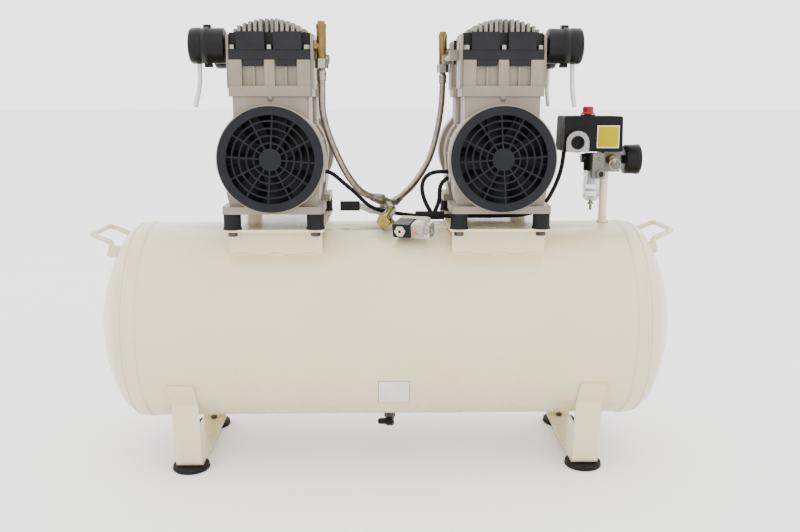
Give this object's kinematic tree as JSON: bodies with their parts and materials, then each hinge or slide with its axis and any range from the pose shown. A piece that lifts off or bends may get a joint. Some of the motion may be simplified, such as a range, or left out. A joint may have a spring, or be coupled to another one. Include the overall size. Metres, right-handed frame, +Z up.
{
  "type": "air compressor",
  "caption": "Portable oil-free air compressor: twin-cylinder motor pumps on a horizontal tank with strap legs, carrying handles, pressure switch, gauge, filter and braided hoses.",
  "frame": {"origin": "on the floor under the middle of the tank", "axes": "+X along the tank towards the pressure switch, +Y to the back, +Z up"},
  "size_m": [0.9508, 0.3288, 0.7119],
  "materials": {
    "tank_paint": "off-white powder coat, smooth gloss",
    "casting": "die-cast aluminium with satin silver paint",
    "head_black": "die-cast aluminium, satin black paint with bare fin tops",
    "black_plastic": "moulded black plastic, fine texture",
    "fan_plastic": "moulded glass-filled black nylon",
    "milky_tube": "translucent white plastic tubing",
    "red_plastic": "moulded red plastic",
    "clear_plastic": "clear polycarbonate",
    "rubber": "moulded black rubber",
    "brass": "machined brass",
    "zinc_steel": "zinc-plated steel",
    "braid": "braided stainless steel sleeve over a rubber hose",
    "laminations": "stacked steel laminations, varnished",
    "bearing_steel": "ground bearing steel",
    "grey_paint": "grey paint",
    "cable_black": "black cable sheath"
  },
  "bodies": {
    "tank_frame": {"tank_shell": "tank_paint", "tank_heads": "tank_paint", "tank_legs": "tank_paint", "carry_handles": "tank_paint", "motor_brackets": "tank_paint", "tank_ports": "tank_paint", "foot_pads": "rubber", "rubber_mounts": "rubber", "drain_valve": "brass", "hex_bolts": "zinc_steel", "shaft_bearings": "bearing_steel", "fan_guards": "black_plastic", "intake_filters": "black_plastic", "pistons": "casting", "crossover_tubes": "casting", "hose_left": "braid", "hose_right": "braid", "hose_fittings": "zinc_steel", "filter_tube_left": "milky_tube", "filter_tube_right": "milky_tube", "filter_tube_rear": "milky_tube", "cable_left": "cable_black", "cable_right": "cable_black", "cable_loop_left": "cable_black", "cable_loop_right": "cable_black", "cable_sleeve": "rubber", "check_valve": "brass", "gauge_lens": "clear_plastic", "solenoid_valve": "black_plastic", "solenoid_plug": "clear_plastic", "outlet_valve": "zinc_steel", "manifold": "grey_paint", "switch_body": "black_plastic", "safety_valve": "brass", "outlet_block": "grey_paint", "filter_cap": "black_plastic", "filter_bowl": "clear_plastic", "pressure_gauge": "black_plastic", "crankcase_front_left": "casting", "crankcase_rear_left": "casting", "cylinders_left": "casting", "heads_left": "head_black", "stator_left": "casting", "discharge_tee_left": "brass", "crankcase_front_right": "casting", "crankcase_rear_right": "casting", "cylinders_right": "casting", "heads_right": "head_black", "stator_right": "casting", "discharge_tee_right": "brass"},
    "rotor_left_body": {"rotor_left": "bearing_steel", "fans_left": "fan_plastic"},
    "rotor_right_body": {"rotor_right": "bearing_steel", "fans_right": "fan_plastic"},
    "drain_lever_body": {"drain_lever": "black_plastic"},
    "outlet_lever_body": {"outlet_lever": "black_plastic"},
    "switch_knob_body": {"switch_knob": "red_plastic"},
    "safety_pull_body": {"safety_pull": "zinc_steel"},
    "bowl_drain_body": {"bowl_drain": "brass"},
    "gauge_needle_body": {"gauge_needle": "zinc_steel"}
  },
  "joints": [
    {"name": "rotor_left_spin", "type": "hinge", "parent": "tank_frame", "child": "rotor_left_body", "pos_m": [-0.174, 0, 0.506], "axis": [0, 1, 0], "continuous": true},
    {"name": "rotor_right_spin", "type": "hinge", "parent": "tank_frame", "child": "rotor_right_body", "pos_m": [0.174, 0, 0.506], "axis": [0, 1, 0], "continuous": true},
    {"name": "drain_lever_turn", "type": "hinge", "parent": "tank_frame", "child": "drain_lever_body", "pos_m": [0.004, -0.012, 0.046], "axis": [0, -1, 0], "range_deg": [0, 90]},
    {"name": "outlet_lever_turn", "type": "hinge", "parent": "tank_frame", "child": "outlet_lever_body", "pos_m": [-0.002, 0.028, 0.408], "axis": [0, 1, 0], "range_deg": [0, 90]},
    {"name": "switch_knob_pull", "type": "slide", "parent": "tank_frame", "child": "switch_knob_body", "axis": [0, 0, 1], "range_m": [0, 0.006]},
    {"name": "safety_ring_pull", "type": "slide", "parent": "tank_frame", "child": "safety_pull_body", "axis": [0, -1, 0], "range_m": [0, 0.004], "stiffness_N_per_m": 2000},
    {"name": "bowl_drain_push", "type": "slide", "parent": "tank_frame", "child": "bowl_drain_body", "axis": [0, 0, 1], "range_m": [0, 0.0025], "stiffness_N_per_m": 500},
    {"name": "gauge_needle_turn", "type": "hinge", "parent": "tank_frame", "child": "gauge_needle_body", "pos_m": [0.415, 0, 0.497], "axis": [-1, 0, 0], "range_deg": [0, 270]}
  ]
}
